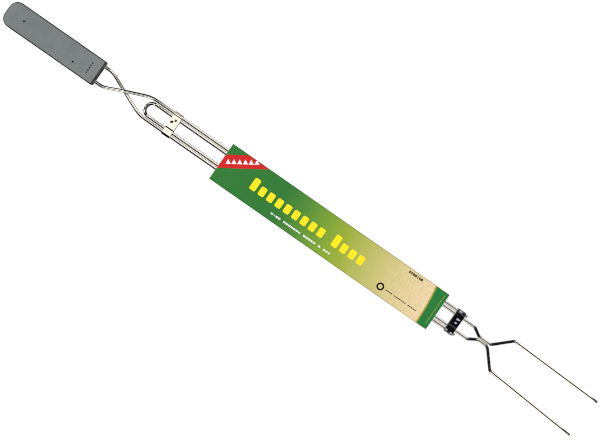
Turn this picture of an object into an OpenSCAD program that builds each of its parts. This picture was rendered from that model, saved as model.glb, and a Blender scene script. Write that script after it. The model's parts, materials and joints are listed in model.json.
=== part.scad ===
// Telescoping roasting fork in bent wire.
// A moulded handle carries two frame wires, which cross, run parallel and end in the guide clip.
// One fork wire, looped at the back and spread into two tines, slides between them. Its slider
// clip runs on the frame wires, and its legs run through the guide clip. A card sleeve wraps the lot.
// +X runs from the handle to the tines, +Z is up, and the origin is under the middle of the handle.

/* [Handle] */
// Length of the handle
handle_len = 81; // [60:0.5:130]
// Width of the handle
handle_w = 20.2; // [18:0.1:30]
// Thickness of the handle
handle_t = 11; // [8:0.5:16]
// Radius of the two rear corners, seen from above
handle_rear_r = 7; // [3:0.5:8]
// Radius of the two front corners and of every long edge
handle_edge_r = 1.2; // [0.4:0.1:2]
// Distance from the rear end to the hooked wire ends moulded inside
anchor_x = 15; // [10:0.5:20]

/* [Wire] */
// Diameter of all the wire
wire_d = 2.4; // [2:0.1:3]
// Gap between a frame wire and the fork leg beside it
wire_gap = 0.4; // [0.2:0.1:0.8]
// How far the two frame wires sink into each other where they are welded
weld_sink = 0.2; // [0.1:0.05:0.4]

/* [Handle frame] */
// Centre distance of the frame wires where they leave the handle
exit_spacing = 13; // [10:0.2:13.6]
// Straight run of wire in front of the handle
exit_run = 7.5; // [4:0.1:12]
// Distance from the end of that run to the crossing
cross_run = 14.4; // [12:0.1:24]
// Distance from the crossing to where the frame wires run parallel
neck_run = 19; // [16:0.5:40]
// Centre distance of the parallel frame wires
frame_spacing = 16; // [15:0.2:20]
// Distance from the handle's front to the frame wires' ends
frame_len = 321.7; // [300:0.1:420]

/* [Fork wire] */
// Distance from the crossing to the back of the loop, with the fork closed
loop_gap = 18.6; // [16:0.1:26]
// Distance from the back of the loop to the slider clip
slider_setback = 21; // [14:0.1:30]
// Distance from the frame wires' ends to the start of the pinch, with the fork closed
pinch_ahead = 15.4; // [13:0.1:30]
// Length over which the two legs run welded side by side
pinch_len = 9.6; // [6:0.2:16]
// Angle of the legs as they turn in to the pinch
pinch_angle = 32; // [25:1:45]
// Centre distance of the tines at their shoulders
tine_spacing = 28.2; // [22:0.2:40]
// Angle of the shoulders that spread the tines
shoulder_angle = 46.5; // [40:0.5:60]
// Length of a tine, from its shoulder to its tip
tine_len = 75; // [50:0.1:120]
// Angle by which each tine leans outwards
tine_splay = 1.2; // [0:0.1:2]
// Angle by which the whole head is bent aside, toward the right
head_skew = 2.9; // [-4:0.1:4]
// How much further forward the left shoulder starts than the right one
shoulder_stagger = 1.2; // [0:0.1:2]
// Length of the bevel at a tine's tip
tip_len = 0.6; // [0.3:0.1:5]

/* [Clips] */
// Length of a clip, along the wires
clip_len = 7; // [6:0.2:12]
// Thickness of the clips' steel strip
strip_t = 0.5; // [0.4:0.1:0.8]
// Clearance between a clip and the wire that slides in it
slide_gap = 0.12; // [0.08:0.02:0.2]
// Length of frame wire left standing out of the guide clip
wire_stub = 1.7; // [0.8:0.1:3]
// Distance from a clip's middle to the end of its strip, which laps over the strip's start
lap_y = 3.3; // [2:0.1:5]

/* [Card sleeve] */
// Length of the sleeve
card_len = 192.2; // [120:0.1:220]
// Width of the sleeve
card_w = 30.8; // [28:0.1:44]
// Thickness of the card
card_t = 0.45; // [0.3:0.05:0.8]
// Distance from the slider clip to the sleeve, with the fork closed
card_ahead = 41; // [5:0.1:44]
// How far the loose sleeve has dropped to one side
card_drop = 1.4; // [0:0.1:2]

/* [Hidden] */
$fn = 96;

CHROME = [0.80, 0.81, 0.82];
BLACKENED = [0.07, 0.07, 0.08];
PLASTIC = [0.36, 0.38, 0.38];
CARD = [0.30, 0.55, 0.26];

wire_r = wire_d / 2;
bend_thinning = 0.01;     // share of its radius that the wire loses in a bend
bend_lap = 0.2;           // how far a straight runs into the bend after it
exit_bend_r = 14;
cross_bend_r = 10;
neck_bend_r = 25;
hook_bend_r = 4;
pinch_bend_r = 5;
shoulder_bend_r = 3;
wire_end_bevel = 0.3;
tip_r = 0.75;
mould_fit = 0.02;         // between the wire and the plastic moulded round it
weld_lap = 0.06;          // how far each leg runs into the other in the pinch

// Places along the fork, from the handle's rear end
cross_x = handle_len + exit_run + cross_run;
neck_x = cross_x + neck_run;
frame_end_x = handle_len + frame_len;
guide_x = frame_end_x - wire_stub - clip_len;
loop_x = cross_x + loop_gap;
slider_x = loop_x + slider_setback;
pinch_x = frame_end_x + pinch_ahead;
shoulder_x = pinch_x + pinch_len;

// Places across the fork
frame_y = frame_spacing / 2;
leg_y = frame_y - wire_d - wire_gap;
pinch_y = wire_r - weld_lap;
tine_y = tine_spacing / 2;
exit_y = exit_spacing / 2;
hook_end_y = 1.2;
mid_z = handle_t / 2;     // the plane of all the wires

// Clips and sleeve, built out from the wires
clip_in_r = wire_r + slide_gap;
clip_out_r = clip_in_r + strip_t;
lap_end_y = 5;            // where the lapped strip starts to slope down to the clip's side
dent_touch = 0.01;        // left between a crimp dent and its wire
dent_r = 1.4;
pit_r = 1.25;             // radius of the ball that a crimp's outer pit is pressed with
pit_depth = 0.35;
spot_r = 1.3;             // the same for the spot welds that hold the lap
spot_depth = 0.25;
spots = [[-1.6, 1.9], [0.4, 4.2]];
sleeve_room = 0.3;        // between the sleeve and the clips that pass through it
sleeve_half = clip_out_r + strip_t + sleeve_room + card_t;
fold_r = 1;
glue_lap_w = 11;          // width of the glued lap on the sleeve's back

// Mould marks in the handle's top face
pin_mark_r = 0.55;
front_pin_x = handle_len - 20.2;
front_pin_inset = 2.6;    // from the middle of the wire beside it
groove_size = [1.3, 9.3];
groove_depth = 0.3;
groove_x = handle_len - 7.7;
groove_y = -0.4;

// ---- Vectors and bent wire ----

function heading(a, b) = (b - a) / norm(b - a);
function turn(u, v) = acos(max(-1, min(1, u * v)));
function setback(u, v, bend_r) = bend_r * tan(turn(u, v) / 2);
function reversed(list) = [for (i = [len(list) - 1 : -1 : 0]) list[i]];
function bend_trim(path, radii, i) =
    i == 0 || i == len(path) - 1 ? 0
    : setback(heading(path[i - 1], path[i]), heading(path[i], path[i + 1]), radii[i - 1]) - bend_lap;

// A straight round bar from a to b
module rod(a, b, r) {
    d = b - a;
    translate(a)
        rotate([0, acos(d.z / norm(d)), atan2(d.y, d.x)])
            cylinder(h = norm(d), r = r);
}

// The curved wire at a corner, from heading u to heading v
module bend(corner, u, v, bend_r, r) {
    inward = (v - (u * v) * u) / norm(v - (u * v) * u);
    centre = corner - u * setback(u, v, bend_r) + inward * bend_r;
    up = cross(u, inward);
    multmatrix([[-inward.x, u.x, up.x, centre.x],
                [-inward.y, u.y, up.y, centre.y],
                [-inward.z, u.z, up.z, centre.z],
                [0, 0, 0, 1]])
        rotate_extrude(angle = turn(u, v))
            translate([bend_r, 0])
                circle(r = r * (1 - bend_thinning));
}

// Wire bent along a path of corners, each with its own bend radius
module bent_wire(path, radii, r) {
    for (i = [0 : len(path) - 2]) {
        u = heading(path[i], path[i + 1]);
        rod(path[i] + u * bend_trim(path, radii, i), path[i + 1] - u * bend_trim(path, radii, i + 1), r);
    }
    for (i = [1 : len(path) - 2])
        bend(path[i], heading(path[i - 1], path[i]), heading(path[i], path[i + 1]), radii[i - 1], r);
}

// A bevelled end that stands on the wire's cut face at p and points along u
module wire_tip(p, u, bevel_len, end_r, r) {
    translate(p)
        rotate([0, acos(u.z), atan2(u.y, u.x)]) {
            cylinder(h = bevel_len, r1 = r, r2 = end_r);
            translate([0, 0, -r]) cylinder(h = r + bevel_len / 2, r = end_r / 2);
        }
}

// ---- Handle frame ----

// Height of the crossing's corner over the wires' plane, so that the bent wires sink in by weld_sink
cross_slope = atan2(wire_r, norm([cross_run, exit_y]));
cross_lift = wire_r - weld_sink / 2 + cross_bend_r * (1 / cos(cross_slope) - 1);

// A frame wire from its hooked end in the handle, over (+1) or under (-1) the other, to the guide clip
function frame_path(over) = [
    [anchor_x, -over * hook_end_y, mid_z],
    [anchor_x, -over * exit_y, mid_z],
    [handle_len + exit_run, -over * exit_y, mid_z],
    [cross_x, 0, mid_z + over * cross_lift],
    [neck_x, over * frame_y, mid_z],
    [frame_end_x - wire_end_bevel, over * frame_y, mid_z]];
frame_bends = [hook_bend_r, exit_bend_r, cross_bend_r, neck_bend_r];

module frame_wire(over, r = wire_r) {
    path = frame_path(over);
    bent_wire(path, frame_bends, r);
    wire_tip(path[5], [1, 0, 0], wire_end_bevel, r - wire_end_bevel, r);
}

module frame_wire_left() color(CHROME) frame_wire(1);
module frame_wire_right() color(CHROME) frame_wire(-1);

// A rectangle with round corners, of radius r on the left and r2 on the right
module round_rect(size, r, r2) {
    x = size.x / 2;
    y = size.y / 2;
    for (s = [-1, 1]) {
        translate([-x + r, s * (y - r)]) circle(r = r);
        translate([x - r2, s * (y - r2)]) circle(r = r2);
    }
    translate([-x, -y + r]) square([size.x - r2, size.y - 2 * r]);
    translate([-x + r, -y]) square([size.x - r - r2, size.y]);
    translate([x - r2 - 0.01, -y + r2]) square([r2 + 0.01, size.y - 2 * r2]);
}

// The slab that its plan and its two side outlines share
module handle_slab() {
    translate([handle_len / 2, 0, mid_z])
        intersection() {
            translate([0, 0, -handle_t / 2])
                linear_extrude(handle_t)
                    round_rect([handle_len, handle_w], handle_rear_r, handle_edge_r);
            rotate([90, 0, 90])
                translate([0, 0, -handle_len])
                    linear_extrude(2 * handle_len)
                        round_rect([handle_w, handle_t], handle_edge_r, handle_edge_r);
            rotate([90, 0, 0])
                translate([0, 0, -handle_w])
                    linear_extrude(2 * handle_w)
                        round_rect([handle_len, handle_t], handle_edge_r, handle_edge_r);
        }
}

// Blind hole left by a mould pin beside the wire, from the top face down to the wire's middle
module pin_mark(x, y) {
    translate([x, y, mid_z])
        cylinder(h = handle_t, r = pin_mark_r);
}

module handle_grip() color(PLASTIC)
    difference() {
        handle_slab();
        frame_wire(1, wire_r + mould_fit);
        frame_wire(-1, wire_r + mould_fit);
        pin_mark(anchor_x, 0);
        pin_mark(front_pin_x, -(exit_y - front_pin_inset));
        translate([groove_x, groove_y, handle_t])
            cube([groove_size.x, groove_size.y, 2 * groove_depth], center = true);
    }

// ---- Clips ----

// The outline of strip folded round wires whose centres are at y = -frame_y and y = frame_y
module clip_outline(r) {
    square([frame_spacing, 2 * r], center = true);
    for (s = [-1, 1])
        translate([s * frame_y, 0]) circle(r = r);
}

// The end of the strip, lapped over its start on the top face
module lap_outline() {
    polygon([[-lap_y, clip_out_r - strip_t / 2], [-lap_y, clip_out_r + strip_t],
             [lap_end_y, clip_out_r + strip_t], [frame_y, clip_out_r - strip_t / 2]]);
}

// Runs an outline in y and z along x
module along_x(len, start = 0) {
    translate([start, 0, 0])
        rotate([90, 0, 90])
            linear_extrude(len)
                children();
}

// Bump pressed in over a wire at y; side is +1 over the wire and -1 under it
module dent(y, side) {
    translate([clip_len / 2, y, side * (wire_r + dent_touch + dent_r)])
        sphere(r = dent_r);
}

// Pit of the given depth, pressed into a face at height z by a ball; side is +1 on a top face
module pit(x, y, z, side, ball_r, depth) {
    translate([clip_len / 2 + x, y, z + side * (ball_r - depth)])
        sphere(r = ball_r);
}

// A clip whose back end is at x = 0, crimped on the wires at y = -grip_y and y = grip_y
module clip(grip_y) {
    difference() {
        union() {
            along_x(clip_len) clip_outline(clip_out_r);
            along_x(clip_len) lap_outline();
        }
        difference() {
            along_x(clip_len + 2, -1) clip_outline(clip_in_r);
            for (y = [-grip_y, grip_y], side = [-1, 1])
                dent(y, side);
        }
        for (y = [-grip_y, grip_y])
            pit(0, y, -clip_out_r, -1, pit_r, pit_depth);
        for (spot = spots)
            pit(spot.x, spot.y, clip_out_r + strip_t, 1, spot_r, spot_depth);
    }
}

module guide_clip() color(BLACKENED)
    translate([guide_x, 0, mid_z]) clip(frame_y);
module slider_clip() color(CHROME)
    translate([slider_x, 0, mid_z]) clip(leg_y);

// ---- Fork wire ----

loop_bend_r = leg_y - 0.2;
leg_end_x = pinch_x - (leg_y - pinch_y) / tan(pinch_angle);
shoulder_run = (tine_y - pinch_y) / tan(shoulder_angle);
tine_shaft = tine_len - tip_len;

// A place in the head, x ahead of the pinch, once the head is bent aside
function in_head(x, y) = [
    shoulder_x + x * cos(head_skew) + y * sin(head_skew),
    y * cos(head_skew) - x * sin(head_skew),
    mid_z];

// One half of the fork wire, from the loop to a tine's bevel; side is +1 for the left and -1 for the right
function half_fork(side) =
    let (x = side * shoulder_stagger / 2)
    [[loop_x + wire_r, side * leg_y, mid_z],
     [leg_end_x, side * leg_y, mid_z],
     [pinch_x, side * pinch_y, mid_z],
     [shoulder_x + x, side * pinch_y, mid_z],
     in_head(x + shoulder_run, side * tine_y),
     in_head(x + shoulder_run + tine_shaft, side * (tine_y + tine_shaft * tan(tine_splay)))];
half_bends = [pinch_bend_r, pinch_bend_r, pinch_bend_r, shoulder_bend_r];

module fork_wire() color(CHROME) {
    bent_wire(concat(reversed(half_fork(1)), half_fork(-1)),
              concat(reversed(half_bends), [loop_bend_r, loop_bend_r], half_bends), wire_r);
    for (side = [-1, 1])
        wire_tip(half_fork(side)[5], heading(half_fork(side)[4], half_fork(side)[5]),
                 tip_len, tip_r, wire_r);
}

// ---- Card sleeve ----

module card_sleeve() color(CARD)
    translate([slider_x + clip_len + card_ahead, -card_drop, mid_z])
        rotate([90, 0, 90])
            linear_extrude(card_len) {
                difference() {
                    round_rect([card_w, 2 * sleeve_half], fold_r, fold_r);
                    round_rect([card_w - 2 * card_t, 2 * (sleeve_half - card_t)],
                               fold_r - card_t, fold_r - card_t);
                }
                translate([-glue_lap_w / 2, -sleeve_half - card_t])
                    square([glue_lap_w, card_t + 0.01]);
            }

// Moves the origin from the handle's rear end to its middle
module placed() translate([-handle_len / 2, 0, 0]) children();

placed() handle_grip();
placed() frame_wire_left();
placed() frame_wire_right();
placed() guide_clip();
placed() fork_wire();
placed() slider_clip();
placed() card_sleeve();
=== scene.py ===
import json
from math import ceil, copysign, cos, hypot, pi, radians, sin, sqrt, tan

import bmesh
import bpy
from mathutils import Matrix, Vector


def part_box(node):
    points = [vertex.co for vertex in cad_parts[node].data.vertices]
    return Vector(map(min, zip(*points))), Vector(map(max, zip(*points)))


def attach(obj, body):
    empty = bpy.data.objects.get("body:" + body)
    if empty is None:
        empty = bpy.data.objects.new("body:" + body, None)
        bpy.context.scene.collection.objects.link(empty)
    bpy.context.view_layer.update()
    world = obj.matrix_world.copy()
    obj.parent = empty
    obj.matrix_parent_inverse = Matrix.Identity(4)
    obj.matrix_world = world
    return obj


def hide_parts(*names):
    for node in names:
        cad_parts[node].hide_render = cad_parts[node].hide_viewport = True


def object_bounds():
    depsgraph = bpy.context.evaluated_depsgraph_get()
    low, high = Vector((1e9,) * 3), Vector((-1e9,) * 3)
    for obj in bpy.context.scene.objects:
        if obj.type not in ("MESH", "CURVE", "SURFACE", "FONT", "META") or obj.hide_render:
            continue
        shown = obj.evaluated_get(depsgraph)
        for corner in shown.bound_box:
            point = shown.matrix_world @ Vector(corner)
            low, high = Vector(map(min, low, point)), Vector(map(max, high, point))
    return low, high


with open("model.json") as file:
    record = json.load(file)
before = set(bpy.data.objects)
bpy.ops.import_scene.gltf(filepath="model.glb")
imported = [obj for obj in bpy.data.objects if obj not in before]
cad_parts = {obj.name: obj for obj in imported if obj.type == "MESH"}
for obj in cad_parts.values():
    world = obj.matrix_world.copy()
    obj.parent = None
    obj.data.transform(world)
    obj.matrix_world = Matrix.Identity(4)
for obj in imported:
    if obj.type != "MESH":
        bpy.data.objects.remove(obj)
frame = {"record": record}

# The looks of a telescoping roasting fork: a moulded handle, bent chromed wires, two folded strip clips and a
# printed card. X runs from the handle to the tines, Y across the fork and Z up.

CAD_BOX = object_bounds()

# ---- Sizes, in metres. What the frame can say is read from it ----

MM = 0.001
MOUNTS = {mount["name"]: mount for mount in frame["record"]["mounts"]}

grip_lo, grip_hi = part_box("handle_grip")
left_lo, left_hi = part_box("frame_wire_left")
fork_lo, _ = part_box("fork_wire")
card_lo, card_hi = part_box("card_sleeve")

WIRE_R = MOUNTS["tine_left"]["dims"]["r_mm"] * MM
MID_Z = (grip_lo.z + grip_hi.z) / 2          # the plane of all the wires
FRAME_Y = left_hi.y - WIRE_R                 # the parallel frame wires, from the axis
EXIT_Y = -left_lo.y - WIRE_R                 # the same wires where they leave the handle
CROSS_LIFT = left_hi.z - WIRE_R - MID_Z      # how far each wire is bent up or down at the crossing

# The frame wires
WIRE_GAP = 0.4 * MM
EXIT_RUN = 7.5 * MM
CROSS_RUN = 14.4 * MM
NECK_RUN = 19.0 * MM
HOOK_END_Y = 1.2 * MM
HOOK_BEND_R = 4.0 * MM
EXIT_BEND_R = 14.0 * MM
CROSS_BEND_R = 10.0 * MM
NECK_BEND_R = 25.0 * MM
CUT_BEVEL = 0.3 * MM
MOULD_FIT = 0.03 * MM                        # between a wire and the plastic moulded round it
CROSS_X = grip_hi.x + EXIT_RUN + CROSS_RUN
CROSSING_WELD = Vector((2.4, 1.4, 1.9)) * MM    # half its size each way

# The fork wire
LEG_Y = FRAME_Y - 2 * WIRE_R - WIRE_GAP
LOOP_BEND_R = LEG_Y - 0.2 * MM
PINCH_AHEAD = 15.4 * MM                      # from the frame wires' ends to the start of the pinch
PINCH_LEN = 9.6 * MM
PINCH_ANGLE = radians(32)
PINCH_Y = WIRE_R - 0.05 * MM
PINCH_BEND_R = 5.0 * MM
SHOULDER_STAGGER = 1.2 * MM
SHOULDER_BEND_R = 3.0 * MM
TINE_CORNER_BACK = 1.05 * MM                 # from a shoulder's outer corner to the straight of its tine
TIP_LEN = 0.6 * MM
TIP_R = 0.75 * MM
PINCH_X = left_hi.x + PINCH_AHEAD
PINCH_WELD = Vector((3.4, 0.7, 0.72)) * MM   # half its size each way

# The clips
STRIP_T = 0.5 * MM
STRIP_EDGE_R = 0.12 * MM
SLIDE_GAP = 0.12 * MM
STRIP_MID_R = WIRE_R + SLIDE_GAP + STRIP_T / 2
LAP_Y = 3.9 * MM                             # from the axis to the end of the lapped strip
LAP_BEVEL = 0.6 * MM
LAP_END_Y = 6.95 * MM                        # where the lapped strip slopes down, on the other side
CRIMP_R = 0.9 * MM
CRIMP_DEPTH = 0.3 * MM
SPOT_R = 0.9 * MM
SPOT_DEPTH = 0.38 * MM
SLIDER_SPOTS = [(-1.8, 1.1), (-1.2, 1.7), (0.5, 3.8)]    # weld spots, in mm from the clip's middle
# The guide clip's weld spots are also painted with bright highlights
GUIDE_SPOTS = [(0.2, 2.6), (1.2, 2.6), (0.5, -0.3)]
GUIDE_HIGHLIGHTS = [(-1.4, 8.6), (-0.4, 8.5), (-2.2, -8.1), (1.9, -8.4)]    # painted highlights on its bends, where a chrome strip would mirror the light
# Painted shade and painted reflection: dark lines across the slider clip's top, at its lap and its bends,
# where its lap casts shadow and its bends mirror dark surroundings; from and to in y
SLIDER_SHADE_LINES = [
    (-LAP_Y - 0.25 * MM, -LAP_Y + 0.65 * MM), (LAP_END_Y - 0.2 * MM, LAP_END_Y + 0.7 * MM),
    (FRAME_Y + 0.9 * MM, FRAME_Y + 1.35 * MM), (-FRAME_Y - 2.0 * MM, -FRAME_Y - 0.7 * MM)]

# The card
CARD_T = 0.45 * MM
CARD_EDGE_R = 0.1 * MM
FOLD_R = 0.9 * MM
GLUE_LAP_W = 11.0 * MM
LAP_STEP_FROM, LAP_STEP_TO = 0.3 * MM, 1.6 * MM    # past the glued lap, where its outer layer steps in
LAP_STEP_R = 0.8 * MM
CARD_BOW = 0.18 * MM                         # how far the front face bulges

# How finely round shapes are divided
WIRE_SIDES = 28
ARC_STEP = radians(5)
WIRE_STEP = 8 * MM
STRIP_STEP = 0.2 * MM
CARD_STEP = 1.5 * MM


# ---- Meshes made of rings ----

def loft(name, rings, runs=None):
    """A mesh skinned over rings of equal length. Its UVs are the distance along and the place around."""
    mesh = bmesh.new()
    layer = mesh.loops.layers.uv.new("run")
    runs = runs or [0.0] * len(rings)
    rows = [[mesh.verts.new(point) for point in ring] for ring in rings]
    count = len(rings[0])
    for i in range(len(rows) - 1):
        for j in range(count):
            k = (j + 1) % count
            face = mesh.faces.new((rows[i][j], rows[i][k], rows[i + 1][k], rows[i + 1][j]))
            spots = ((i, j), (i, j + 1), (i + 1, j + 1), (i + 1, j))
            for loop, (ring, place) in zip(face.loops, spots):
                loop[layer].uv = (runs[ring], place / count)
    mesh.faces.new(reversed(rows[0]))
    mesh.faces.new(rows[-1])
    bmesh.ops.recalc_face_normals(mesh, faces=mesh.faces)
    return finished(name, mesh)


def finished(name, mesh):
    """The object that shows a bmesh, smooth but for its sharp edges."""
    data = bpy.data.meshes.new(name)
    mesh.to_mesh(data)
    mesh.free()
    obj = bpy.data.objects.new(name, data)
    bpy.context.scene.collection.objects.link(obj)
    smooth(obj)
    return obj


def smooth(obj, sharp_above=38):
    """Smooth shading, with every edge sharper than that many degrees kept sharp."""
    obj.data.shade_smooth()
    obj.data.set_sharp_from_angle(angle=radians(sharp_above))


def cut(obj, *cutters):
    """Cuts the cutters out of obj and removes them."""
    for cutter in cutters:
        modifier = obj.modifiers.new("cut", "BOOLEAN")
        modifier.operation = "DIFFERENCE"
        modifier.solver = "EXACT"
        modifier.object = cutter
        applied(obj)
        bpy.data.objects.remove(cutter)
    smooth(obj)


def applied(obj):
    """Makes what obj's modifiers give its own mesh."""
    shown = obj.evaluated_get(bpy.context.evaluated_depsgraph_get())
    data = bpy.data.meshes.new_from_object(shown)
    obj.modifiers.clear()
    obj.data = data


def bent_path(corners, radii):
    """Points along a line bent at each of its inner corners by a radius."""
    points = [corners[0]]
    for before, corner, after, radius in zip(corners, corners[1:], corners[2:], radii):
        u = (corner - before).normalized()
        v = (after - corner).normalized()
        turn = u.angle(v)
        inward = (v - u * u.dot(v)).normalized()
        centre = corner - u * radius * tan(turn / 2) + inward * radius
        steps = max(2, ceil(turn / ARC_STEP))
        for k in range(steps + 1):
            angle = turn * k / steps
            points.append(centre + (u * sin(angle) - inward * cos(angle)) * radius)
    points.append(corners[-1])
    return points


def spaced(points, spacing):
    """The same line with points no further apart than spacing."""
    out = [points[0]]
    for a, b in zip(points, points[1:]):
        pieces = max(1, ceil((b - a).length / spacing))
        out.extend(a.lerp(b, k / pieces) for k in range(1, pieces + 1))
    return out


def headings(points):
    """The direction of travel at each point of a line."""
    ends = [points[0], *points, points[-1]]
    return [(after - before).normalized() for before, after in zip(ends, ends[2:])]


def distances(points):
    """How far along the line each of its points is."""
    out = [0.0]
    for a, b in zip(points, points[1:]):
        out.append(out[-1] + (b - a).length)
    return out


# ---- Wires ----

def circle(centre, side, up, radius):
    """A ring of points round a centre, in the plane of side and up."""
    turns = [2 * pi * k / WIRE_SIDES for k in range(WIRE_SIDES)]
    return [centre + (side * cos(a) + up * sin(a)) * radius for a in turns]


def tube(name, points, radius, starts=((0, 0),), ends=((0, 0),)):
    """A round wire along points. starts and ends shape its ends: how far out, and how much thinner."""
    along = headings(points)
    stations = [(points[0] - along[0] * out, along[0], thinner) for out, thinner in reversed(starts)]
    stations += [(point, heading, 0) for point, heading in zip(points[1:-1], along[1:-1])]
    stations += [(points[-1] + along[-1] * out, along[-1], thinner) for out, thinner in ends]
    rings = []
    for centre, heading, thinner in stations:
        side = heading.cross(Vector((0, 0, 1))).normalized()
        rings.append(circle(centre, side, side.cross(heading), radius - thinner))
    return loft(name, rings, distances([centre for centre, _, _ in stations]))


def rounded_end(length, depth, steps=4):
    """The rings of an end rounded over that length, down to that depth."""
    angles = [pi / 2 * k / steps for k in range(steps + 1)]
    return [(length * sin(a), depth * (1 - cos(a))) for a in angles]


def frame_path(side):
    """The frame wire that goes over (+1) or under (-1) the other, from its hook in the handle on."""
    slope = WIRE_R / hypot(CROSS_RUN, EXIT_Y)
    lift = CROSS_LIFT + CROSS_BEND_R * (hypot(1, slope) - 1)
    hook_x = left_lo.x + WIRE_R
    exit_x = grip_hi.x + EXIT_RUN
    corners = [
        Vector((hook_x, -side * HOOK_END_Y, MID_Z)),
        Vector((hook_x, -side * EXIT_Y, MID_Z)),
        Vector((exit_x, -side * EXIT_Y, MID_Z)),
        Vector((CROSS_X, 0, MID_Z + side * lift)),
        Vector((CROSS_X + NECK_RUN, side * FRAME_Y, MID_Z)),
        Vector((left_hi.x - CUT_BEVEL, side * FRAME_Y, MID_Z))]
    return spaced(bent_path(corners, [HOOK_BEND_R, EXIT_BEND_R, CROSS_BEND_R, NECK_BEND_R]), WIRE_STEP)


def tine_ends(name):
    """Where a tine's straight shaft starts and ends, and its direction."""
    mount = MOUNTS[name]
    middle, heading = Vector(mount["pos_m"]), Vector(mount["axis"])
    half = heading * mount["dims"]["length_mm"] * MM / 2
    return middle - half, middle + half, heading


def half_fork(side):
    """One half of the fork wire's corners, from the loop to the tine's tip."""
    leg_x = PINCH_X - (LEG_Y - PINCH_Y) / tan(PINCH_ANGLE)
    start, end, heading = tine_ends("tine_left" if side > 0 else "tine_right")
    return [
        Vector((fork_lo.x + WIRE_R, side * LEG_Y, MID_Z)),
        Vector((leg_x, side * LEG_Y, MID_Z)),
        Vector((PINCH_X, side * PINCH_Y, MID_Z)),
        Vector((PINCH_X + PINCH_LEN + side * SHOULDER_STAGGER / 2, side * PINCH_Y, MID_Z)),
        start - heading * TINE_CORNER_BACK,
        end]


def fork_path():
    """The whole fork wire, from one tine's tip round the loop to the other's."""
    bends = [PINCH_BEND_R, PINCH_BEND_R, PINCH_BEND_R, SHOULDER_BEND_R]
    corners = list(reversed(half_fork(1))) + half_fork(-1)
    return spaced(bent_path(corners, list(reversed(bends)) + [LOOP_BEND_R] * 2 + bends), WIRE_STEP)


def weld_bead(name, centre, half, ripples=5, steps=40):
    """A lightly rippled weld between two wires. half is half its size each way."""
    rings, along = [], []
    for k in range(1, steps):
        angle = pi * k / steps
        x = -half.x * cos(angle)
        swell = sin(angle) ** 0.6 * (1 + 0.05 * cos(2 * pi * ripples * x / half.x))
        middle = centre + Vector((x, 0, 0))
        rings.append(circle(middle, Vector((0, half.y, 0)), Vector((0, 0, half.z)), swell))
        along.append(x)
    return loft(name, rings, along)


# ---- Folded strips: the clips and the card ----

def strip_section(length, thickness, edge_r, inset, divisions):
    """The strip cut across its path, as (x, out) pairs: the outer face, then back along the inner one."""
    half = length / 2 - inset
    out = thickness / 2 - inset
    edge = max(edge_r - inset, 0.01 * MM)
    flat = [half - edge - 2 * (half - edge) * k / divisions for k in range(divisions + 1)]
    corner = [(sin(radians(a)), cos(radians(a))) for a in (30, 60)]
    outer = [(-x, out) for x in flat]
    right = [(half - edge + edge * s, out - edge + edge * c) for s, c in corner]
    lower = [(x, -y) for x, y in reversed(right)]
    inner = [(x, -out) for x in flat]
    left = [(-x, y) for x, y in reversed(lower)]
    upper = [(-x, y) for x, y in reversed(right)]
    return outer + right + lower + inner + left + upper


def folded_strip(name, path, centre_x, length, thickness, edge_r, divisions, pressed):
    """A strip of that length along x, folded along a path in y and z, with its outer face pushed in by
    pressed(x, y, z)."""
    along = headings(path)
    ends = rounded_end(edge_r, edge_r, 3)
    stations = [(path[0] - along[0] * out, along[0], inset) for out, inset in reversed(ends)]
    stations += [(point, heading, 0) for point, heading in zip(path[1:-1], along[1:-1])]
    stations += [(path[-1] + along[-1] * out, along[-1], inset) for out, inset in ends]
    rings = []
    for point, heading, inset in stations:
        outward = Vector((0, -heading.z, heading.y))
        ring = []
        for x, out in strip_section(length, thickness, edge_r, inset, divisions):
            if out > 0:
                out -= pressed(x, point.y, point.z - MID_Z)
            ring.append(point + Vector((centre_x + x, 0, 0)) + outward * out)
        rings.append(ring)
    return loft(name, rings, distances([point for point, _, _ in stations]))


def bowl(distance, radius, depth):
    """How deep a pressed spot is at that distance from its middle, with a slight rim thrown up round it."""
    inside = max(0.0, 1 - (distance / radius) ** 2)
    rim = max(0.0, 1 - ((distance - radius) / (0.3 * radius)) ** 2)
    return depth * inside - 0.12 * depth * rim * (distance > radius * 0.7)


def clip(name, node, spots, grip_y):
    """A strip folded round four wires and lapped on itself, held by spot welds on top and crimps below."""
    lo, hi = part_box(node)
    top = STRIP_MID_R + STRIP_T
    turn = FRAME_Y + STRIP_MID_R
    outline = [
        (-LAP_Y + STRIP_EDGE_R, top), (LAP_END_Y, top), (LAP_END_Y + 0.5 * MM, STRIP_MID_R),
        (turn, STRIP_MID_R), (turn, -STRIP_MID_R), (-turn, -STRIP_MID_R), (-turn, STRIP_MID_R),
        (LAP_END_Y - 0.3 * MM, STRIP_MID_R)]
    corners = [Vector((0, y, MID_Z + z)) for y, z in outline]
    lobe = STRIP_MID_R - 0.01 * MM
    path = bent_path(corners, [0.3 * MM, 0.3 * MM, lobe, lobe, lobe, lobe])

    def pressed(x, y, z):
        depth = 0.0
        if z > STRIP_MID_R + STRIP_T / 4:
            depth += (STRIP_T - 0.05 * MM) * min(1.0, max(0.0, (LAP_BEVEL - LAP_Y - y) / LAP_BEVEL))
            depth += max(bowl(hypot(x - sx * MM, y - sy * MM), SPOT_R, SPOT_DEPTH) for sx, sy in spots)
        if z < 0:
            depth += sum(bowl(hypot(x, y - side * grip_y), CRIMP_R, CRIMP_DEPTH) for side in (-1, 1))
        return depth

    return folded_strip(name, spaced(path, STRIP_STEP), (lo.x + hi.x) / 2, hi.x - lo.x, STRIP_T,
                        STRIP_EDGE_R, 36, pressed)


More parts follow.
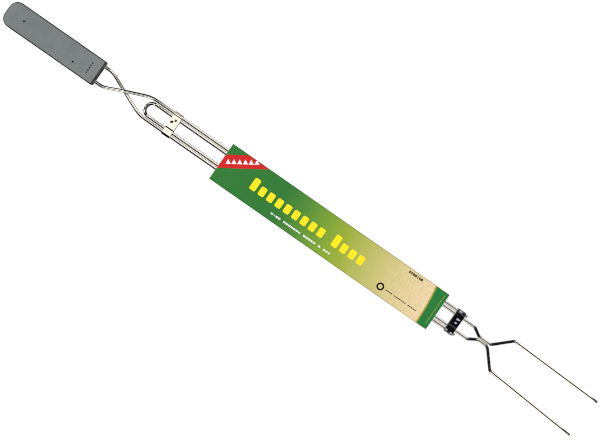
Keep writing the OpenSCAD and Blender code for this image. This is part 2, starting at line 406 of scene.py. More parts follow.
def card_wrap(name):
    """The card, folded into a flat tube whose ends lap and are glued on the back."""
    middle_y = (card_lo.y + card_hi.y) / 2
    half_w = (card_hi.y - card_lo.y - CARD_T) / 2
    top = card_hi.z - CARD_T / 2
    back = card_lo.z + CARD_T * 1.5
    lap = GLUE_LAP_W / 2
    outline = [
        (lap - STRIP_EDGE_R, back - CARD_T), (-lap - LAP_STEP_FROM, back - CARD_T),
        (-lap - LAP_STEP_TO, back),
        (-half_w, back), (-half_w, top), (half_w, top), (half_w, back), (-lap + STRIP_EDGE_R, back)]
    corners = [Vector((0, middle_y + y, z)) for y, z in outline]
    path = bent_path(corners, [LAP_STEP_R] * 2 + [FOLD_R] * 4)

    def pressed(x, y, z):
        bow = max(0.0, 1 - ((y - middle_y) / half_w) ** 2)
        return -CARD_BOW * bow * (0.6 + 0.4 * cos(26 * x)) if z > 2 * MM else 0.0

    return folded_strip(name, spaced(path, CARD_STEP), (card_lo.x + card_hi.x) / 2, card_hi.x - card_lo.x,
                        CARD_T, CARD_EDGE_R, 48, pressed)


# ---- Handle ----

REAR_R = 7.0 * MM
FRONT_R = 1.3 * MM
HANDLE_EDGE_R = 1.2 * MM
EDGE_STEPS = 7
FLASH = 0.07 * MM                            # how far the moulding's parting line stands out
PROUD = 1.0 * MM                             # how far a cutter stands out of what it cuts
MOUTH_FLARE = 0.4 * MM
PIN_R = 0.55 * MM
PIN_BEVEL = 0.15 * MM
PIN_POINT_R = 0.1 * MM
PIN_INSET = 2.6 * MM                         # from the wire beside the front mark
FRONT_PIN_BACK = 20.2 * MM                   # from the handle's front
TICKS_BACK = 7.7 * MM
TICK_SIZE = Vector((1.3, 1.1, 0.6)) * MM
TICK_PITCH = 2.0 * MM
TICKS_Y = -0.4 * MM
TICK_SIDES = 16


def slab_ring(inset, z, steps=14):
    """The handle's outline at height z, drawn in by inset."""
    x, y = (grip_hi.x - grip_lo.x) / 2, grip_hi.y
    middle = (grip_lo.x + grip_hi.x) / 2
    ring = []
    for sx, sy, radius, first in ((-1, -1, REAR_R, 180), (1, -1, FRONT_R, 270),
                                  (1, 1, FRONT_R, 0), (-1, 1, REAR_R, 90)):
        centre = Vector((middle + sx * (x - radius), sy * (y - radius), z))
        for k in range(steps + 1):
            angle = radians(first + 90 * k / steps)
            ring.append(centre + Vector((cos(angle), sin(angle), 0)) * (radius - inset))
    return ring


def handle():
    """The moulded slab, with round edges, a parting line, two pin marks, a row of ticks and two tunnels."""
    quarter = [pi / 2 * k / EDGE_STEPS for k in range(EDGE_STEPS + 1)]
    edge = [(HANDLE_EDGE_R * (1 - sin(a)), HANDLE_EDGE_R * (1 - cos(a))) for a in quarter]
    below = [(inset, grip_lo.z + rise) for inset, rise in edge]
    above = [(inset, grip_hi.z - rise) for inset, rise in reversed(edge)]
    seam = [(0, MID_Z - 2 * FLASH), (-FLASH, MID_Z - FLASH / 2),
            (-FLASH, MID_Z + FLASH / 2), (0, MID_Z + 2 * FLASH)]
    flat_inset = HANDLE_EDGE_R + 0.05 * MM
    levels = [(flat_inset, grip_lo.z), *below, *seam, *above, (flat_inset, grip_hi.z)]
    obj = loft("handle_moulding", [slab_ring(inset, z) for inset, z in levels])
    wires = [tunnel(side) for side in (-1, 1)]
    pins = [pin_mark(left_lo.x + WIRE_R, 0), pin_mark(grip_hi.x - FRONT_PIN_BACK, PIN_INSET - EXIT_Y)]
    ticks = [tick(grip_hi.x - TICKS_BACK, TICKS_Y + TICK_PITCH * k) for k in range(-2, 3)]
    mouths = [mouth(side * EXIT_Y) for side in (-1, 1)]
    cut(obj, *wires, *pins, *ticks, *mouths)
    return obj


def tunnel(side):
    """The cutter for the room that a frame wire takes up in the handle, out past the front face."""
    inside = [point for point in frame_path(side) if point.x < grip_hi.x + EXIT_RUN]
    return tube("tunnel", inside, WIRE_R + MOULD_FIT)


def turned(name, place, axis, profile):
    """A solid of revolution: (distance along the axis, radius) pairs, from place."""
    side = axis.orthogonal().normalized()
    up = axis.cross(side)
    return loft(name, [circle(place + axis * far, side, up, radius) for far, radius in profile])


def pin_mark(x, y):
    """The cutter for a mould pin's blind hole in the top face."""
    deep = grip_hi.z - MID_Z
    return turned("pin", Vector((x, y, grip_hi.z)), Vector((0, 0, -1)),
                  [(-PROUD, PIN_R + PROUD + PIN_BEVEL), (PIN_BEVEL, PIN_R),
                   (deep - 2 * PIN_BEVEL, PIN_R), (deep, PIN_POINT_R)])


def mouth(y):
    """The cutter for the small flare round a wire where it leaves the handle."""
    depth = PROUD + MOUTH_FLARE
    return turned("mouth", Vector((grip_hi.x + PROUD, y, MID_Z)), Vector((-1, 0, 0)),
                  [(0, WIRE_R + depth), (depth, WIRE_R + MOULD_FIT), (depth + 0.2 * MM, WIRE_R)])


def squared(value):
    """The sine or cosine of a turn, moved out from the circle towards a square."""
    return copysign(sqrt(abs(value)), value)


def tick(x, y):
    """The cutter for one shallow tick, a rounded pocket in the top face."""
    half = TICK_SIZE / 2
    turns = [2 * pi * (k + 0.5) / TICK_SIDES for k in range(TICK_SIDES)]
    outline = [Vector((squared(cos(a)) * half.x, squared(sin(a)) * half.y, 0)) for a in turns]
    rings = []
    for share, z in ((1, half.z), (1, -0.4 * half.z), (0.75, -half.z)):
        centre = Vector((x, y, grip_hi.z + z))
        rings.append([centre + point * share for point in outline])
    return loft("tick", rings)


# ---- Materials ----

def srgb(red, green, blue):
    """A colour given as 0 to 255, as the linear colour that the shaders take."""
    def linear(value):
        value /= 255
        return value / 12.92 if value <= 0.04045 else ((value + 0.055) / 1.055) ** 2.4
    return (linear(red), linear(green), linear(blue), 1)


class Graph:
    """Adds nodes to a node tree, each wired from the values that it is given."""

    def __init__(self, tree):
        self.tree = tree

    def node(self, kind, inputs=(), **settings):
        made = self.tree.nodes.new("ShaderNode" + kind)
        for name, value in settings.items():
            setattr(made, name, value)
        for socket, value in dict(inputs).items():
            self.feed(made.inputs[socket], value)
        return made

    def feed(self, socket, value):
        if isinstance(value, bpy.types.NodeSocket):
            self.tree.links.new(value, socket)
        else:
            socket.default_value = value

    def math(self, operation, *values):
        return self.node("Math", enumerate(values), operation=operation).outputs[0]

    def step(self, low, high, value):
        """0 where value is at low, 1 where it is at high, and smooth between."""
        ends = (low, high, 0, 1) if low < high else (high, low, 1, 0)
        names = ("Value", "From Min", "From Max", "To Min", "To Max")
        return self.node("MapRange", zip(names, (value, *ends)), interpolation_type="SMOOTHSTEP").outputs[0]

    def both(self, *masks):
        """The product of several masks."""
        product = masks[0]
        for mask in masks[1:]:
            product = self.math("MULTIPLY", product, mask)
        return product

    def mix(self, share, a, b):
        made = self.node("Mix", data_type="RGBA")
        for socket, value in ((0, share), (6, a), (7, b)):
            self.feed(made.inputs[socket], value)
        return made.outputs[2]

    def invert(self, mask):
        return self.math("SUBTRACT", 1.0, mask)

    def parts(self, vector):
        """The x, y and z of a vector."""
        return self.node("SeparateXYZ", {0: vector}).outputs

    def facing(self):
        """The x, y and z of the direction that the surface faces."""
        return self.parts(self.node("TexCoord").outputs["Normal"])

    def noise(self, place, scale, detail=2.0, roughness=0.5):
        inputs = {"Vector": place, "Scale": scale, "Detail": detail, "Roughness": roughness}
        return self.node("TexNoise", inputs).outputs[0]

    def stretched(self, place, scale):
        """A place scaled by a different amount each way."""
        return self.node("VectorMath", {0: place, 1: scale}, operation="MULTIPLY").outputs[0]

    def range(self, value, low, high, start=0.0, end=1.0):
        """value moved from the range start to end, to the range low to high."""
        names = ("Value", "From Min", "From Max", "To Min", "To Max")
        return self.node("MapRange", zip(names, (value, start, end, low, high))).outputs[0]

    def ramp(self, value, stops):
        """A colour ramp through (place, colour) stops."""
        made = self.node("ValToRGB", {0: value})
        ramp = made.color_ramp
        ramp.elements[0].position, ramp.elements[0].color = stops[0]
        ramp.elements[1].position, ramp.elements[1].color = stops[-1]
        for place, colour in stops[1:-1]:
            ramp.elements.new(place).color = colour
        return made.outputs[0]

    def bump(self, height, distance, strength=1.0):
        made = self.node("Bump", {"Height": height, "Distance": distance, "Strength": strength})
        return made.outputs[0]


def material(name):
    """A new material: it, its graph, its shader, and the place on the object in metres."""
    made = bpy.data.materials.new(name)
    made.use_nodes = True
    graph = Graph(made.node_tree)
    shader = made.node_tree.nodes["Principled BSDF"]
    place = graph.node("TexCoord").outputs["Object"]
    return made, graph, shader, place


BRIGHT_CHROME = (0.86, 0.84, 0.81, 1)
HANDLED_CHROME = (0.74, 0.71, 0.67, 1)
# Painted reflection: the near-black of the patches on the loop
LOOP_PAINTED_DARK = (0.03, 0.03, 0.03, 1)


def chrome_wire():
    """Bright plated wire: faint drawn lines, a slight ripple, duller marks, and a dented loop with dark
    patches painted on it, a painted reflection of dark surroundings in its bends.
    """
    made, graph, shader, place = material("chrome_wire")
    run = graph.node("UVMap", uv_map="run").outputs[0]
    lines = graph.noise(graph.stretched(run, (90, 38, 1)), 1.0, 3.0)
    ripple = graph.noise(place, 420.0, 2.0)
    marks = graph.noise(place, 160.0, 4.0, 0.6)
    x, y, _ = graph.parts(place)
    at_loop = graph.both(graph.step(fork_lo.x - 1 * MM, fork_lo.x, x),
                         graph.step(fork_lo.x + 9 * MM, fork_lo.x + 5 * MM, x),
                         graph.step(FRAME_Y - WIRE_R, LEG_Y + WIRE_R, graph.math("ABSOLUTE", y)))
    dents = graph.noise(place, 420.0, 1.0)
    colour = graph.mix(graph.step(0.52, 0.72, marks), BRIGHT_CHROME, HANDLED_CHROME)
    # Painted reflection: near-black patches on the dented loop, where its tight bends mirror dark
    # surroundings
    colour = graph.mix(graph.both(at_loop, graph.step(0.44, 0.54, dents), 0.93), colour, LOOP_PAINTED_DARK)
    height = graph.math("ADD", graph.math("MULTIPLY", lines, 0.35), ripple)
    height = graph.math("ADD", height, graph.both(at_loop, dents, 70.0))
    graph.feed(shader.inputs["Base Color"], colour)
    graph.feed(shader.inputs["Roughness"], graph.range(marks, 0.03, 0.09, 0.3, 0.7))
    graph.feed(shader.inputs["Normal"], graph.bump(height, 0.012 * MM, 0.25))
    shader.inputs["Metallic"].default_value = 1.0
    return made


# The clips' colours, where clean and where scuffed: the slider's plating, and the guide clip's near-black, a
# painted reflection of dark surroundings on the same kind of chrome strip; the slider's burnt weld marks,
# painted highlights on the guide clip, and painted shade lines
SLIDER_TINTS = [(0.84, 0.80, 0.735, 1), (0.76, 0.70, 0.62, 1)]
# Painted reflection: the guide clip's near-black tints, a chrome strip's mirroring of dark surroundings
GUIDE_PAINTED_DARK_TINTS = [(0.10, 0.105, 0.125, 1), (0.05, 0.05, 0.065, 1)]
PIT_TINT = (0.10, 0.06, 0.035, 1)
# Painted highlight: the pale tint at the guide clip's spots and bends
PAINTED_HIGHLIGHT_TINT = (0.56, 0.62, 0.72, 1)
# Painted shade: the dark of the shade lines, also put on the top of the end faces
DARK_LINE_TINT = (0.055, 0.042, 0.03, 1)
SHADE_LINE_BLUR = 0.15 * MM


def strip_metal(name, node, tints, rough, ripple_depth, spots, weld_burn_and_highlight_tint, spot_metal, shade_lines):
    """Plated strip in the tints given: rolled lines across it, a slight waviness, soft scuffs, tinted marks
    at its welds and other spots, and on its top painted shade lines and darker end faces."""
    made, graph, shader, place = material(name)
    lo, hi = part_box(node)
    middle_x = (lo.x + hi.x) / 2
    rolled = graph.noise(graph.stretched(place, (260, 3600, 3600)), 1.0, 3.0)
    wave = graph.noise(place, 330.0, 2.0)
    scuffs = graph.noise(place, 900.0, 5.0, 0.65)
    colour = graph.mix(graph.step(0.5, 0.7, scuffs), *tints)
    ragged = graph.math("MULTIPLY", graph.math("SUBTRACT", scuffs, 0.5), 1.6 * MM)

    marked = 0.0
    level = graph.stretched(place, (1, 1, 0))
    # Each spot is tinted: burnt dark on the slider, and on the guide clip a painted highlight, pale and less
    # metallic
    for x, y in spots:
        spot = {0: level, 1: (middle_x + x * MM, y * MM, 0)}
        far = graph.node("VectorMath", spot, operation="DISTANCE").outputs["Value"]
        near = graph.step(SPOT_R, SPOT_R * 0.7, graph.math("ADD", far, ragged))
        colour = graph.mix(graph.math("MULTIPLY", near, 0.9), colour, weld_burn_and_highlight_tint)
        marked = graph.math("MAXIMUM", marked, near)

    # On the top: painted shade lines, and the end faces darkened
    _, y, z = graph.parts(place)
    across = graph.math("ADD", y, graph.math("MULTIPLY", ragged, 0.3))
    darkened = graph.step(0.6, 0.9, graph.math("ABSOLUTE", graph.facing()[0]))
    for start, end in shade_lines:
        line = graph.both(graph.step(start, start + SHADE_LINE_BLUR, across),
                          graph.step(end, end - SHADE_LINE_BLUR, across))
        darkened = graph.math("MAXIMUM", darkened, line)
    darkened = graph.both(darkened, graph.step(MID_Z, MID_Z + STRIP_T, z), 0.95)

    height = graph.math("ADD", graph.math("MULTIPLY", rolled, 0.12), wave)
    graph.feed(shader.inputs["Base Color"], graph.mix(darkened, colour, DARK_LINE_TINT))
    graph.feed(shader.inputs["Roughness"], graph.range(scuffs, *rough, 0.3, 0.7))
    graph.feed(shader.inputs["Normal"], graph.bump(height, ripple_depth, 0.6))
    graph.feed(shader.inputs["Metallic"], graph.range(marked, 1.0, spot_metal))
    return made


# Painted sheen: the greys painted on the handle's broad faces, standing in for the overhead light that the
# black plastic mirrors
PAINTED_SHEEN_DARK = (0.150, 0.180, 0.178, 1)
PAINTED_SHEEN_LIGHT = (0.192, 0.216, 0.210, 1)
GRAIN_TINT = (0.105, 0.125, 0.124, 1)
MOULDED_BLACK = (0.010, 0.011, 0.011, 1)


def grip_plastic():
    """Dark moulding: its broad faces painted satin grey, a painted sheen for the overhead light they mirror,
    with faint flow clouds; its edges and hollows black.
    """
    made, graph, shader, place = material("grip_plastic")
    cloud = graph.noise(place, 48.0, 3.0, 0.6)
    grain = graph.noise(place, 2600.0, 3.0, 0.6)
    swell = graph.noise(place, 120.0, 2.0)
    height = graph.math("SUBTRACT", graph.parts(place)[2], MID_Z)
    skin = (grip_hi.z - grip_lo.z) / 2
    # The broad top and bottom faces, which get the painted sheen
    sheen_faces = graph.both(graph.step(0.80, 0.95, graph.math("ABSOLUTE", graph.facing()[2])),
                       graph.step(skin - 0.25 * MM, skin - 0.1 * MM, graph.math("ABSOLUTE", height)))
    sheen_colour = graph.mix(graph.step(0.34, 0.66, cloud), PAINTED_SHEEN_DARK, PAINTED_SHEEN_LIGHT)
    sheen_colour = graph.mix(graph.range(grain, 0.0, 0.35, 0.35, 0.65), sheen_colour, GRAIN_TINT)
    graph.feed(shader.inputs["Base Color"], graph.mix(sheen_faces, MOULDED_BLACK, sheen_colour))
    graph.feed(shader.inputs["Roughness"], graph.range(sheen_faces, 0.32, 0.5))
    relief = graph.math("ADD", graph.math("MULTIPLY", grain, 0.25), swell)
    graph.feed(shader.inputs["Normal"], graph.bump(relief, 0.05 * MM, 0.45))
    return made


# Inks and grounds of the card's print
GREEN = srgb(47, 127, 51)
BAND_GREEN = srgb(30, 128, 55)
OLIVE = srgb(168, 160, 52)
RED = srgb(216, 30, 28)
YELLOW = srgb(255, 235, 8)
WHITE = srgb(250, 250, 246)
BROWN = srgb(84, 66, 44)
BLACK = srgb(16, 15, 12)
OLD_INK = srgb(196, 164, 112)
FLECK = srgb(120, 92, 58)
BOARD = srgb(206, 196, 176)
BOARD_FIBRE = srgb(178, 166, 142)
GROUND = [(0.27, GREEN), (0.36, srgb(84, 145, 52)), (0.47, srgb(128, 167, 48)), (0.56, srgb(159, 178, 54)),
          (0.70, srgb(201, 196, 113)), (0.84, srgb(233, 213, 158)), (0.95, srgb(246, 219, 175))]

# The print's layout, in millimetres from the card's handle end and its left edge
SOFT_EDGE = 0.12
BAND_SLANT = radians(57)
RED_FROM, RED_TO = 8.0, 17.8
PEAK_START, PEAK_END, PEAK_PITCH, PEAK_H = -5.4, 19.8, 4.2, 3.6
PEAK_BASE = 14.7                             # across the band, as RED_FROM is
TITLE_PITCH, TITLE_BASE, TITLE_CAPITAL, TITLE_SMALL = 7.4, 20.0, 9.6, 7.0
TITLE_BLOCK = 5.0
TITLE_WORDS = [(26.4, 9), (98.6, 4)]
RING_AT, RING_R, RING_WIDTH = (147.2, 23.9), 2.3, 1.2
FRONT_BAND, BAND_CURVE = 8.2, 2.8


class Print(Graph):
    """Masks for shapes printed on the card, at u along it and v across it, in millimetres."""

    def __init__(self, tree, u, v):
        super().__init__(tree)
        self.u, self.v = u, v

    def within(self, value, low, high):
        """A soft-edged mask of low < value < high."""
        return self.both(self.step(low - SOFT_EDGE, low + SOFT_EDGE, value),
                         self.invert(self.step(high - SOFT_EDGE, high + SOFT_EDGE, value)))

    def cells(self, value, start, pitch):
        """Which cell of a row value is in, and how far it is from that cell's middle."""
        count = self.math("DIVIDE", self.math("SUBTRACT", value, start), pitch)
        cell = self.math("FLOOR", count)
        off = self.math("SUBTRACT", self.math("SUBTRACT", count, cell), 0.5)
        return cell, self.math("MULTIPLY", self.math("ABSOLUTE", off), pitch)

    def dashes(self, start, end, middle_v, height, pitch=2.2, gaps=0.25):
        """A row of small dashes of uneven length, some left out, as a line of print seen from afar."""
        cell, off = self.cells(self.u, start, pitch)
        chance = self.node("TexWhiteNoise", {"W": cell}, noise_dimensions="1D").outputs[0]
        half = self.range(chance, 0.28 * pitch, 0.46 * pitch)
        shown = self.step(gaps - 0.01, gaps + 0.01, chance)
        inside = self.step(-SOFT_EDGE, SOFT_EDGE, self.math("SUBTRACT", half, off))
        return self.both(shown, inside, self.within(self.u, start, end),
                         self.within(self.v, middle_v - height / 2, middle_v + height / 2))

    def blocks(self, start, count):
        """A word of plain rounded blocks, the first one taller."""
        cell, off = self.cells(self.u, start, TITLE_PITCH)
        first = self.step(0.4, 0.6, cell)
        height = self.range(first, TITLE_CAPITAL, TITLE_SMALL)
        middle = self.math("SUBTRACT", TITLE_BASE, self.math("MULTIPLY", height, 0.5))
        up = self.math("ABSOLUTE", self.math("SUBTRACT", self.v, middle))
        corner = 1.2
        across = self.math("MAXIMUM", self.math("SUBTRACT", off, TITLE_BLOCK / 2 - corner), 0.0)
        beyond = self.math("SUBTRACT", self.math("ADD", up, corner), self.math("MULTIPLY", height, 0.5))
        along = self.math("MAXIMUM", beyond, 0.0)
        reach = self.math("SQRT", self.math("ADD", self.both(across, across), self.both(along, along)))
        return self.both(self.step(-SOFT_EDGE, SOFT_EDGE, self.math("SUBTRACT", corner, reach)),
                         self.within(self.u, start, start + count * TITLE_PITCH))

    def slanted(self):
        """The distance across and along the slanting corner band."""
        s, c = sin(BAND_SLANT), cos(BAND_SLANT)
        across = self.math("ADD", self.math("MULTIPLY", self.u, c), self.math("MULTIPLY", self.v, s))
        along = self.math("SUBTRACT", self.math("MULTIPLY", self.u, s), self.math("MULTIPLY", self.v, c))
        return across, along

    def peaks(self, across, along):
        """A row of small peaks, standing on the band's lower side."""
        _, off = self.cells(along, PEAK_START, PEAK_PITCH)
        rise = self.math("SUBTRACT", PEAK_BASE, across)
        half = self.range(rise, 1.9, 0.0, 0.0, PEAK_H)
        return self.both(self.step(-SOFT_EDGE, SOFT_EDGE, self.math("SUBTRACT", half, off)),
                         self.within(rise, 0.0, PEAK_H), self.within(along, PEAK_START, PEAK_END))

    def ring(self):
        """A plain ring."""
        x = self.math("SUBTRACT", self.u, RING_AT[0])
        y = self.math("SUBTRACT", self.v, RING_AT[1])
        reach = self.math("SQRT", self.math("ADD", self.both(x, x), self.both(y, y)))
        return self.within(reach, RING_R - RING_WIDTH / 2, RING_R + RING_WIDTH / 2)


def card_ground(ink, place, length, fibres):
    """The card's ground, green running to tan, with the fibres and flecks of its board where it is tan."""
    drift = ink.noise(place, 45.0, 2.0)
    flecks = ink.noise(place, 1500.0, 2.0)
    share = ink.math("ADD", ink.math("DIVIDE", ink.u, length), ink.math("MULTIPLY", ink.v, -0.0006))
    share = ink.math("ADD", share, ink.range(drift, -0.02, 0.02))
    bare = ink.step(0.5, 0.9, share)
    rubbed = ink.both(bare, ink.range(fibres, 0.0, 0.5, 0.45, 0.75))
    colour = ink.mix(rubbed, ink.ramp(share, GROUND), OLD_INK)
    return ink.mix(ink.both(bare, ink.step(0.66, 0.72, flecks), 0.5), colour, FLECK)


def past_front_band(ink, length, width):
    """How far a place is past the curved edge of the card's front band."""
    rest = ink.math("SUBTRACT", 1.0, ink.math("DIVIDE", ink.v, width))
    curve = ink.math("MULTIPLY", ink.math("POWER", rest, 2.0), BAND_CURVE)
    return ink.math("SUBTRACT", ink.u, ink.math("SUBTRACT", length - FRONT_BAND, curve))


def card_marks(ink, place, length, width):
    """The shapes printed on the card's front, each with its ink, in the order that they are laid down."""
    past = past_front_band(ink, length, width)
    across, along = ink.slanted()
    small_print = ink.math("MAXIMUM", ink.dashes(158.0, 170.2, 2.8, 1.9, 1.75, 0.0),
                           ink.dashes(151.6, 179.6, 23.7, 0.8, 1.5, 0.12))
    title = ink.math("MAXIMUM", *[ink.blocks(start, count) for start, count in TITLE_WORDS])
    end_print = ink.both(ink.within(ink.u, length - 2.9, length - 2.4), ink.within(ink.v, 2.4, 27.0),
                         ink.step(0.38, 0.42, ink.noise(place, 1400.0, 0.0)))
    return [
        (ink.within(past, -1.1, 0.1), OLIVE),
        (ink.step(-SOFT_EDGE, SOFT_EDGE, past), BAND_GREEN),
        (ink.within(across, RED_FROM, RED_TO), RED),
        (ink.peaks(across, along), WHITE),
        (title, YELLOW),
        (ink.dashes(51.0, 103.6, 25.6, 1.3, 2.2, 0.15), WHITE),
        (small_print, BROWN),
        (ink.ring(), BLACK),
        (end_print, OLIVE)]


def printed_card():
    """The sleeve's print, with plain shapes where such a card has its words and marks."""
    made, graph, shader, place = material("printed_card")
    length = (card_hi.x - card_lo.x) / MM
    width = (card_hi.y - card_lo.y) / MM
    x, y, _ = graph.parts(place)
    u = graph.range(x, 0.0, length, card_lo.x, card_hi.x)
    v = graph.math("MULTIPLY", graph.math("SUBTRACT", card_hi.y, y), 1 / MM)
    ink = Print(made.node_tree, u, v)

    fibres = graph.noise(graph.stretched(place, (900, 500, 500)), 1.0, 5.0, 0.7)
    colour = card_ground(ink, place, length, fibres)
    front = graph.step(0.6, 0.8, graph.facing()[2])
    for mask, inked in card_marks(ink, place, length, width):
        colour = graph.mix(graph.both(mask, front), colour, inked)
    graph.feed(shader.inputs["Base Color"], colour)
    graph.feed(shader.inputs["Roughness"], graph.range(fibres, 0.38, 0.55, 0.3, 0.7))
    graph.feed(shader.inputs["Normal"], graph.bump(fibres, 0.02 * MM, 0.5))
    shader.inputs["Specular IOR Level"].default_value = 0.15
    return made


def bare_board():
    """The card's inside and cut edges: uncoated grey board with visible fibres."""
    made, graph, shader, place = material("bare_board")
    fibres = graph.noise(graph.stretched(place, (700, 1500, 1500)), 1.0, 5.0, 0.7)
    graph.feed(shader.inputs["Base Color"], graph.mix(
        graph.range(fibres, 0.0, 1.0, 0.35, 0.65), BOARD, BOARD_FIBRE))
    graph.feed(shader.inputs["Normal"], graph.bump(fibres, 0.04 * MM, 0.6))
    shader.inputs["Roughness"].default_value = 0.9
    return made


# ---- The object ----

def place_piece(obj, body, slot, *materials, nodes=()):
    """Gives a piece its materials, lets it ride, and says which CAD nodes it stands for. slot is not used."""
    for made in materials:
        obj.data.materials.append(made)
    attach(obj, body)
    if nodes:
        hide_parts(*nodes)


chrome = chrome_wire()
bright_strip = strip_metal("chrome_strip", "slider_clip", SLIDER_TINTS, (0.05, 0.14), 0.03 * MM,
                           SLIDER_SPOTS, PIT_TINT, 1.0, SLIDER_SHADE_LINES)
# The guide clip's near-black is painted reflection, and the pale tint at its spots and bends painted
# highlights
dark_strip = strip_metal("dark_strip", "guide_clip", GUIDE_PAINTED_DARK_TINTS, (0.04, 0.14), 0.04 * MM,
                         GUIDE_SPOTS + GUIDE_HIGHLIGHTS, PAINTED_HIGHLIGHT_TINT, 0.25, [])

place_piece(handle(), "handle_frame", "grip_plastic", grip_plastic(), nodes=["handle_grip"])
cut_end = rounded_end(CUT_BEVEL, CUT_BEVEL)
for side, node in ((1, "frame_wire_left"), (-1, "frame_wire_right")):
    rod = tube(node.replace("wire", "rod"), frame_path(side), WIRE_R, cut_end, cut_end)
    place_piece(rod, "handle_frame", "chrome_wire", chrome, nodes=[node])
tip = rounded_end(TIP_LEN, WIRE_R - TIP_R)
fork = tube("fork_rod", fork_path(), WIRE_R, tip, tip)
place_piece(fork, "fork", "chrome_wire", chrome, nodes=["fork_wire"])

place_piece(weld_bead("crossing_weld", Vector((CROSS_X, 0, MID_Z)), CROSSING_WELD),
            "handle_frame", "chrome_wire", chrome)
place_piece(weld_bead("pinch_weld", Vector((PINCH_X + PINCH_LEN / 2, 0, MID_Z)), PINCH_WELD),
            "fork", "chrome_wire", chrome)

place_piece(clip("guide_strip", "guide_clip", GUIDE_SPOTS, FRAME_Y),
            "handle_frame", "dark_strip", dark_strip, nodes=["guide_clip"])
place_piece(clip("slider_strip", "slider_clip", SLIDER_SPOTS, LEG_Y),
            "fork", "chrome_strip", bright_strip, nodes=["slider_clip"])

card = card_wrap("card_wrap")
place_piece(card, "card", "printed_card", printed_card(), bare_board(), nodes=["card_sleeve"])
mid_card = (card_lo + card_hi) / 2
for face in card.data.polygons:
    end_on = abs(face.normal.x) > 0.6
    outward = face.center - mid_card
    facing_in = face.normal.y * outward.y + face.normal.z * outward.z * 4 < 0
    face.material_index = 1 if end_on or facing_in else 0


# ---- Floor, light and camera ----

KEY = 1.30                                   # brightness of the soft lights that the metal mirrors
KEY_TINT = (1.0, 0.965, 0.90)
END_KEY = 0.8                                # the lights beyond the ends, which other views mirror most
UNLIT = (0.004, 0.004, 0.005, 1)
DOME = 1.95                                  # brightness of the overhead light, on all but mirrors
DOME_BELOW = 0.05
FLOOR_SIZE = 12.0
FLOOR_DROP = 0.05 * MM
FLOOR_GREY = (0.16, 0.16, 0.16, 1)
FLOOR_GLOW = 0.9                             # how bright the ground is to the camera
FLOOR_IN_METAL = (0.12, 0.9)                 # how bright the ground is in the metal, rear and front
TABLE_EDGE = (left_hi.x + 42 * MM, left_hi.x + 50 * MM)
CAMERA_HEIGHT = 1.05
CAMERA_TURN = radians(34.9)
CAMERA_OFF = Vector((3.9, -0.4, 0)) * MM     # from the middle of the object to below the camera
VIEW_ANGLE = radians(23.57)


def floor():
    """A plain ground: pale to the camera, and to the metal dark below the object and pale past its tines."""
    made, graph, shader, place = material("floor")
    shader.inputs["Base Color"].default_value = FLOOR_GREY
    shader.inputs["Roughness"].default_value = 1.0
    shader.inputs["Specular IOR Level"].default_value = 0.0
    shader.inputs["Emission Color"].default_value = (1, 1, 1, 1)
    rays = graph.node("LightPath").outputs
    glow = graph.range(graph.step(*TABLE_EDGE, graph.parts(place)[0]), *FLOOR_IN_METAL)
    in_metal = graph.math("MULTIPLY", rays["Is Glossy Ray"], glow)
    seen = graph.math("MULTIPLY", rays["Is Camera Ray"], FLOOR_GLOW)
    graph.feed(shader.inputs["Emission Strength"], graph.math("ADD", in_metal, seen))
    half = FLOOR_SIZE / 2
    corners = [(-half, -half), (half, -half), (half, half), (-half, half)]
    mesh = bmesh.new()
    mesh.faces.new([mesh.verts.new((x, y, -FLOOR_DROP)) for x, y in corners])
    obj = finished("floor", mesh)
    obj.data.materials.append(made)


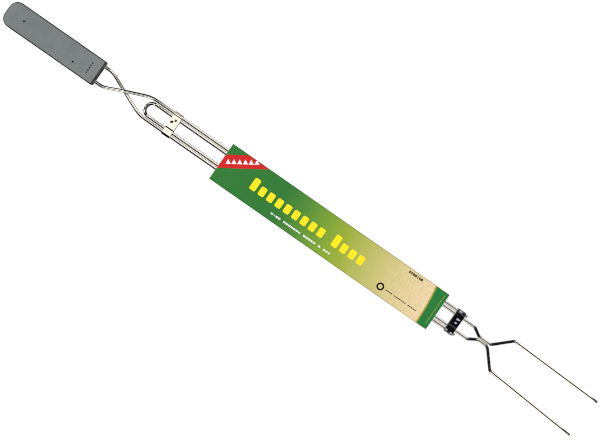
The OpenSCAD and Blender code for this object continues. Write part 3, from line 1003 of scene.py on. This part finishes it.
def mirrored_lights(graph, x, y):
    """Where the metal mirrors a light, for a direction whose level parts are x and y: a bank from overhead to
    the sides with dark gaps in it, and a light low beyond each end. The edges are tuned to the view from
    above, in which each run of wire mirrors its own narrow arc of directions."""
    wide = graph.math("ABSOLUTE", y)

    def outside(a, b):
        """How far the direction is to the outside of the line wide = a + b * x."""
        return graph.math("SUBTRACT", wide, graph.math("MULTIPLY_ADD", x, b, a))

    rear = graph.math("SUBTRACT", x, graph.range(wide, -0.40, -0.12, 0.12, 0.20))
    behind = graph.step(-0.02, 0.02, rear)
    ahead = graph.step(0.32, 0.27, x)
    camera_gap = graph.both(graph.step(0.0, 0.04, x), graph.step(0.63, 0.57, wide))
    dark_side = graph.both(graph.step(0.02, -0.02, x), graph.step(-0.26, -0.34, y))
    shoulder_gap = graph.both(graph.step(0.10, 0.13, graph.math("MULTIPLY_ADD", wide, 1.054, x)),
                              graph.step(0.20, 0.17, graph.math("MULTIPLY_ADD", wide, 0.625, x)))
    bank = graph.both(behind, ahead, graph.invert(camera_gap), graph.invert(dark_side),
                      graph.invert(shoulder_gap))
    rear_end = graph.both(graph.step(0.0, -0.05, outside(-0.40, -2.15)),
                          graph.step(0.0, -0.05, outside(0.06, -0.93)))
    front_end = graph.step(0.0, -0.05, outside(-0.23, 0.93))
    ends = graph.math("MULTIPLY", graph.math("MAXIMUM", rear_end, front_end), END_KEY)
    return graph.math("MAXIMUM", bank, ends)


def studio():
    """Soft banks of light for the metal to mirror, a soft light from above, and a pale backdrop."""
    world = bpy.data.worlds.new("studio")
    bpy.context.scene.world = world
    world.use_nodes = True
    graph = Graph(world.node_tree)
    background = world.node_tree.nodes["Background"]
    x, y, z = graph.parts(graph.node("TexCoord").outputs["Generated"])
    key = tuple(KEY * part for part in KEY_TINT) + (1,)
    mirrored = graph.mix(mirrored_lights(graph, x, y), UNLIT, key)
    soft = graph.mix(graph.step(0.6, 0.8, z), (DOME_BELOW,) * 3 + (1,), (DOME,) * 3 + (1,))
    rays = graph.node("LightPath").outputs
    lit = graph.mix(rays["Is Glossy Ray"], soft, mirrored)
    graph.feed(background.inputs["Color"], graph.mix(rays["Is Camera Ray"], lit, (1, 1, 1, 1)))


def camera():
    """Straight down on the closed fork, which lies across the picture from top left to bottom right."""
    middle = (CAD_BOX[0] + CAD_BOX[1]) / 2
    data = bpy.data.cameras.new("camera")
    obj = bpy.data.objects.new("camera", data)
    bpy.context.scene.collection.objects.link(obj)
    obj.location = Vector((middle.x, middle.y, MID_Z + CAMERA_HEIGHT)) + CAMERA_OFF
    obj.rotation_euler = (0, 0, CAMERA_TURN)
    data.lens = data.sensor_width / 2 / tan(VIEW_ANGLE / 2)
    bpy.context.scene.camera = obj


floor()
studio()
camera()
bpy.context.scene.view_settings.view_transform = "Standard"
bpy.context.scene.cycles.filter_width = 0.9
